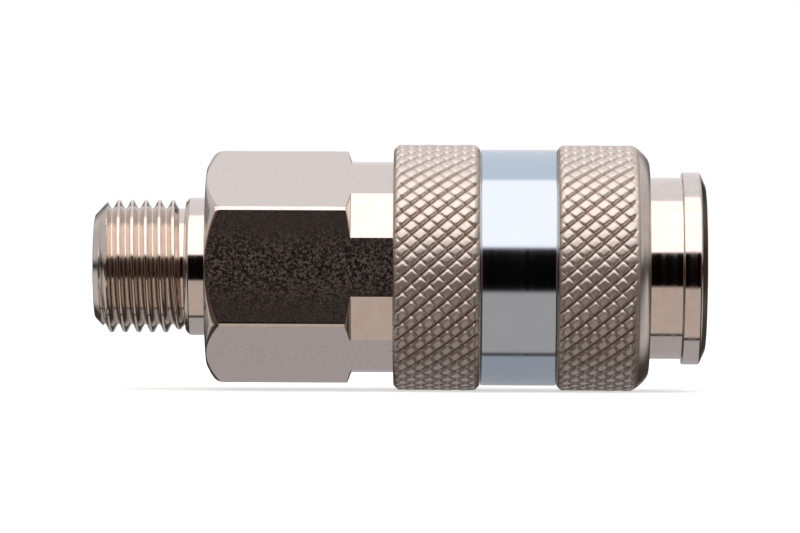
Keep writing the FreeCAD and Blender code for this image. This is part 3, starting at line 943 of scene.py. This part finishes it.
def sleeve_rows(size):
    """Rows of the sleeve's section: (x, radius or grip, row in the grip), right round the section."""
    rear = SLEEVE_LOW.x
    front = SLEEVE_HIGH.x
    band_rear = BAND_LOW.x - size.band_gap
    band_front = BAND_HIGH.x + size.band_gap
    foot = size.knurl_crest - size.grip_bevel
    round_start = front - size.front_round

    def rear_envelope(x):
        return foot + min(x - rear, band_rear - x, size.grip_bevel)

    def front_envelope(x):
        share = min(1.0, max(0.0, (x - round_start) / size.front_round))
        height = (1 - share**size.front_shape) ** (1 / size.front_shape)
        rounded = size.front_tip + (size.knurl_crest - size.front_tip) * height
        return min(rounded, foot + min(x - band_front, size.grip_bevel))

    def grip_rows(*values):
        grip = Grip(size, *values)
        return [(x, grip, row) for x, row in grip.rows]

    def plain_rows(*spots):
        return [(x, radius, None) for x, radius in spots]

    grip_end = front - size.front_plain
    rim_start = math.asin((grip_end - round_start) / size.front_round)
    rows = grip_rows(rear, band_rear, size.band_gap, rear_envelope)
    rows += plain_rows((band_rear, foot), (band_rear, size.band_seat), (band_front, size.band_seat))
    rows += grip_rows(band_front, grip_end, size.run_out, front_envelope)
    for k in range(size.front_steps):
        turn = rim_start + (math.pi / 2 - rim_start) * k / size.front_steps
        x = round_start + size.front_round * math.sin(turn)
        rows += plain_rows((x, front_envelope(x)))
    rows += plain_rows(
        (front, size.front_tip),
        (front, size.land),
        (size.recess_front, size.land),
        (size.recess_front, size.recess),
        (size.cone_front, size.recess),
        (size.cone_rear, size.land),
        (size.spring_shoulder, size.land),
        (size.spring_shoulder, size.bore),
        (size.ring_room_front, size.bore),
        (size.ring_room_front, size.ring_room),
        (size.ring_room_rear, size.ring_room),
        (size.ring_room_rear, size.bore),
        (rear, size.bore),
    )
    return rows


class COUPLING_OT_locking_sleeve(bpy.types.Operator):
    """Locking sleeve with two knurled grips"""

    bl_idname = "coupling.locking_sleeve"
    bl_label = "Locking Sleeve"

    def execute(self, context):
        size = context.scene.coupling_sleeve
        rows = sleeve_rows(size)
        cells = size.knurl_cells
        columns = size.knurl_count * cells
        points = []
        for column in range(columns):
            angle = FULL_TURN * column / columns
            for x, form, row in rows:
                radius = form.radius(x, row, column) if isinstance(form, Grip) else form
                points.append(place(x, radius, angle))
        faces = []
        for column in range(columns):
            beside = (column + 1) % columns
            quads = ring_quads(column * len(rows), beside * len(rows), len(rows))
            for (*_, row), corners in zip(rows, quads):
                if row is None:
                    faces.append(corners)
                    continue
                main = abs((row - column) % cells - cells / 2)
                cross = abs((row + column + 1) % cells - cells / 2)
                if main >= cross:
                    faces += [corners[:3], (corners[0], corners[2], corners[3])]
                else:
                    faces += [corners[1:], (corners[0], corners[1], corners[3])]
        piece = finish_mesh("locking_sleeve_knurled", points, faces, sharp=55)
        root = size.knurl_crest - size.knurl_depth
        plain_from = SLEEVE_HIGH.x - size.front_plain
        for face in piece.data.polygons:
            radius = math.hypot(face.center.y, face.center.z)
            if face.center.x > plain_from or radius < root - size.band_gap:
                face.material_index = 1
        dress(piece, "sleeve", ["knurled nickel", "satin nickel"], ["locking_sleeve"])
        return {"FINISHED"}


class COUPLING_OT_centre_band(bpy.types.Operator):
    """Bright band between the two grips"""

    bl_idname = "coupling.centre_band"
    bl_label = "Centre Band"

    def execute(self, context):
        size = context.scene.coupling_sleeve
        section = outline([
            (BAND_LOW.x, size.band_inner, 0.0),
            (BAND_LOW.x, BAND_HIGH.z, size.band_edge),
            (BAND_HIGH.x, BAND_HIGH.z, size.band_edge),
            (BAND_HIGH.x, size.band_inner, 0.0),
        ])
        columns = 256
        piece = lathe("centre_band_chromed", turned_columns(section, columns))
        weigh_normals(piece)
        dress(piece, "sleeve", ["bright chrome"], ["centre_band"])
        return {"FINISHED"}


# Springs

def spring(name, rear, front, radius, wire, turns, size):
    """Compression spring with closed ends that are ground flat on their seats."""
    closed = size.closed_turns
    run = front - rear - wire
    open_turns = turns - 2 * closed
    ease = 0.35
    total = int(turns * size.steps)
    rings = []
    for k in range(total + 1):
        turn = turns * k / total
        share = min(1.0, max(0.0, (turn - closed) / open_turns))
        eased = share - ease * math.sin(FULL_TURN * share) / FULL_TURN
        x_mid = rear + wire / 2 + run * eased
        angle = FULL_TURN * turn
        ring = []
        for s in range(size.sides):
            round_wire = FULL_TURN * s / size.sides
            x = x_mid + wire / 2 * math.sin(round_wire)
            x = min(max(x, rear), front)
            ring.append(place(x, radius + wire / 2 * math.cos(round_wire), angle))
        rings.append(ring)
    return sweep(name, rings, sharp=50)


class COUPLING_OT_springs(bpy.types.Operator):
    """Sleeve spring and valve spring"""

    bl_idname = "coupling.springs"
    bl_label = "Springs"

    def execute(self, context):
        size = context.scene.coupling_springs
        for node, low, high, wire, turns, body, joint in (
            ("sleeve_spring", SLEEVE_SPRING_LOW, SLEEVE_SPRING_HIGH, size.sleeve_wire,
             size.sleeve_turns, "sleeve_spring", "sleeve_slide"),
            ("valve_spring", VALVE_SPRING_LOW, VALVE_SPRING_HIGH, size.valve_wire,
             size.valve_turns, "body", "valve_slide"),
        ):
            radius = high.z - wire / 2
            piece = spring(node + "_coil", low.x, high.x, radius, wire, turns, size)
            dress(piece, body, ["spring steel"], [node])
            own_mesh(piece)
        return {"FINISHED"}


# Pieces that keep the frame's own shape

class COUPLING_OT_inner_pieces(bpy.types.Operator):
    """Finish of the balls, the valve, the seals and the rings"""

    bl_idname = "coupling.inner_pieces"
    bl_label = "Inner Pieces"

    def execute(self, context):
        finishes = {
            "plain brass": ["valve_poppet", "valve_guide"],
            "spring steel": ["stop_ring"],
            "black rubber": ["body_gasket", "plug_seal", "valve_seal"],
            "white plastic": ["seal_backup_ring"],
            "ball steel": BALL_NODES,
        }
        for name, nodes in finishes.items():
            for node in nodes:
                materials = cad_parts[node].data.materials
                materials.clear()
                materials.append(finish(name))
        return {"FINISHED"}


# Studio

def studio_bands(graph, share, bands):
    """Colours by degrees round the axis, from straight behind, under, to the front, over and back."""
    ramp = graph.add("ShaderNodeValToRGB", {"Fac": share})
    stops = ramp.color_ramp.elements
    while len(stops) < len(bands):
        stops.new(0.5)
    for stop, (angle, shade) in zip(stops, bands):
        stop.position = (angle + 180) / 360
        stop.color = opaque(shade)
    return ramp.outputs["Color"]


def studio_world(settings):
    """Softbox over the camera, dark gap before it, table below, walls behind. Dimmer towards the ends."""
    world = bpy.data.worlds.new("studio")
    graph = fresh_graph(world)
    split, off_axis = split_spot(graph, graph.add("ShaderNodeTexCoord").outputs["Generated"])
    turn = graph.math("ARCTAN2", split["Z"], graph.math("MULTIPLY", split["Y"], -1.0))
    share = graph.math("ADD", graph.math("DIVIDE", turn, FULL_TURN), 0.5)
    behind = (0.40, 0.395, 0.395)
    floor = (0.302, 0.29, 0.30)
    line = (0.045, 0.04, 0.037)
    table = (0.373, 0.318, 0.292)
    dark = (0.0012, 0.0009, 0.0008)
    white = (1.12, 1.0, 1.0)
    wall = (0.59, 0.583, 0.61)
    ahead = studio_bands(graph, share, (
        (-180, floor), (-97, floor), (-96, line), (-92, line), (-91, table), (-25, table), (-22, dark),
        (18, dark), (21, white), (94, white), (97, wall), (168, wall), (174, behind),
    ))
    floor_aside = (0.035, 0.030, 0.024)
    table_aside = (0.035, 0.024, 0.018)
    room = (0.075, 0.045, 0.036)
    lamp_aside = (0.92, 0.89, 0.87)
    wall_aside = (0.45, 0.43, 0.425)
    aside = studio_bands(graph, share, (
        (-180, floor_aside), (-95, floor_aside), (-91, table_aside), (-27, table_aside), (-20, room),
        (16, room), (24, lamp_aside), (92, lamp_aside), (99, wall_aside), (150, wall_aside),
        (170, floor_aside),
    ))
    floor_far = (0.38, 0.365, 0.355)
    table_far = (0.14, 0.13, 0.125)
    dark_far = (0.02, 0.017, 0.015)
    wall_far = (0.38, 0.365, 0.36)
    far = studio_bands(graph, share, (
        (-174, dark_far), (-150, floor_far), (-120, floor_far), (-60, table_far), (-12, dark_far),
        (6, dark_far), (30, wall_far), (145, wall_far), (174, dark_far),
    ))
    ends = (0.05, 0.045, 0.042)
    to_aside = (0.085, 0.28)
    from_far = (0.62, 0.85)
    from_ends = (0.06, 0.22)
    sideways = graph.math("ABSOLUTE", split["X"])
    around = graph.mixed(graph.band(sideways, *to_aside), ahead, aside)
    sides = graph.mixed(graph.band(off_axis, *from_far), far, around)
    shade = graph.mixed(graph.band(off_axis, *from_ends), opaque(ends), sides)
    lit = graph.add("ShaderNodeBackground", {"Color": shade, "Strength": settings.softbox})
    plain = graph.add("ShaderNodeBackground", {"Color": (1.0, 1.0, 1.0, 1.0), "Strength": 1.0})
    seen = graph.add("ShaderNodeLightPath").outputs["Is Camera Ray"]
    both = graph.add("ShaderNodeMixShader", {0: seen, 1: lit.outputs[0], 2: plain.outputs[0]})
    graph.add("ShaderNodeOutputWorld", {"Surface": both.outputs[0]})
    return world


def floor_material(settings):
    """Pale floor that the camera sees as white with a shadow, and that metal sees through to the studio."""
    material = bpy.data.materials.new("pale floor")
    graph = fresh_graph(material)
    patches_per_metre = 30.0
    darker = 0.97
    tone = [channel * darker for channel in settings.floor]
    patches = graph.noise(2.0, patches_per_metre, object_spot(graph))
    shade = graph.mixed(patches, opaque(settings.floor), opaque(tone))
    diffuse = graph.add("ShaderNodeBsdfDiffuse", {"Color": shade}).outputs[0]
    lift = graph.add("ShaderNodeEmission", {"Strength": settings.floor_lift}).outputs[0]
    clear = graph.add("ShaderNodeBsdfTransparent").outputs[0]
    path = graph.add("ShaderNodeLightPath").outputs
    lifted = graph.add("ShaderNodeAddShader", {0: diffuse, 1: lift}).outputs[0]
    seen = graph.add("ShaderNodeMixShader", {0: path["Is Camera Ray"], 1: diffuse, 2: lifted}).outputs[0]
    below = graph.add("ShaderNodeNewGeometry").outputs["Backfacing"]
    hidden = graph.math("MAXIMUM", below, path["Is Glossy Ray"])
    whole = graph.add("ShaderNodeMixShader", {0: hidden, 1: seen, 2: clear})
    graph.add("ShaderNodeOutputMaterial", {"Surface": whole.outputs[0]})
    return material


def make_floor(settings):
    half = settings.floor_size / 2
    level = CAD_BOX[0].z - settings.floor_gap
    corners = [(-half, -half, level), (half, -half, level), (half, half, level), (-half, half, level)]
    mesh = bpy.data.meshes.new("floor")
    mesh.from_pydata(corners, [], [(0, 1, 2, 3)])
    mesh.materials.append(floor_material(settings))
    floor = bpy.data.objects.new("floor", mesh)
    bpy.context.scene.collection.objects.link(floor)


def make_camera(settings):
    camera = bpy.data.cameras.new("camera")
    camera.lens = camera.sensor_width * settings.view_distance / settings.view_width
    camera.clip_start = 0.01
    camera.clip_end = 20.0
    eye = bpy.data.objects.new("camera", camera)
    across = settings.view_distance * math.sin(settings.view_yaw)
    away = settings.view_distance * math.cos(settings.view_yaw)
    eye.location = (settings.view_centre + across, -away, settings.view_height)
    level = Euler((math.pi / 2, 0, settings.view_yaw)).to_matrix()
    roll = Matrix.Rotation(settings.view_roll, 3, "Z")
    eye.rotation_euler = (level @ roll).to_euler()
    bpy.context.scene.collection.objects.link(eye)
    bpy.context.scene.camera = eye


class COUPLING_OT_studio(bpy.types.Operator):
    """Camera, light and floor"""

    bl_idname = "coupling.studio"
    bl_label = "Studio"

    def execute(self, context):
        settings = context.scene.coupling_studio
        context.scene.world = studio_world(settings)
        context.scene.view_settings.view_transform = "Standard"
        make_floor(settings)
        make_camera(settings)
        return {"FINISHED"}


class COUPLING_PT_panel(bpy.types.Panel):
    """Lists the pieces and their sizes"""

    bl_idname = "COUPLING_PT_panel"
    bl_label = "Quick Coupling"
    bl_space_type = "VIEW_3D"
    bl_region_type = "UI"
    bl_category = "Coupling"

    def draw(self, context):
        layout = self.layout
        for operator in OPERATORS:
            layout.operator(operator.bl_idname)
        for name, group in SETTINGS.items():
            box = layout.box()
            box.label(text=group.__doc__)
            for key in group.__annotations__:
                box.prop(getattr(context.scene, name), key)


SETTINGS = {
    "coupling_rear": RearBodySizes,
    "coupling_front": FrontBodySizes,
    "coupling_sleeve": SleeveSizes,
    "coupling_springs": SpringSizes,
    "coupling_colours": FinishColours,
    "coupling_studio": StudioSettings,
}
OPERATORS = (
    COUPLING_OT_rear_body,
    COUPLING_OT_male_thread,
    COUPLING_OT_front_body,
    COUPLING_OT_locking_sleeve,
    COUPLING_OT_centre_band,
    COUPLING_OT_springs,
    COUPLING_OT_inner_pieces,
    COUPLING_OT_studio,
)


def register():
    for made in (*SETTINGS.values(), *OPERATORS, COUPLING_PT_panel):
        bpy.utils.register_class(made)
    for name, group in SETTINGS.items():
        setattr(bpy.types.Scene, name, bpy.props.PointerProperty(type=group))


def unregister():
    for name in SETTINGS:
        delattr(bpy.types.Scene, name)
    for made in (COUPLING_PT_panel, *reversed(OPERATORS), *reversed(SETTINGS.values())):
        bpy.utils.unregister_class(made)


def main():
    register()
    bpy.ops.coupling.rear_body()
    bpy.ops.coupling.male_thread()
    bpy.ops.coupling.front_body()
    bpy.ops.coupling.locking_sleeve()
    bpy.ops.coupling.centre_band()
    bpy.ops.coupling.springs()
    bpy.ops.coupling.inner_pieces()
    bpy.ops.coupling.studio()
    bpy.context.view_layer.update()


if __name__ == "__main__":
    main()
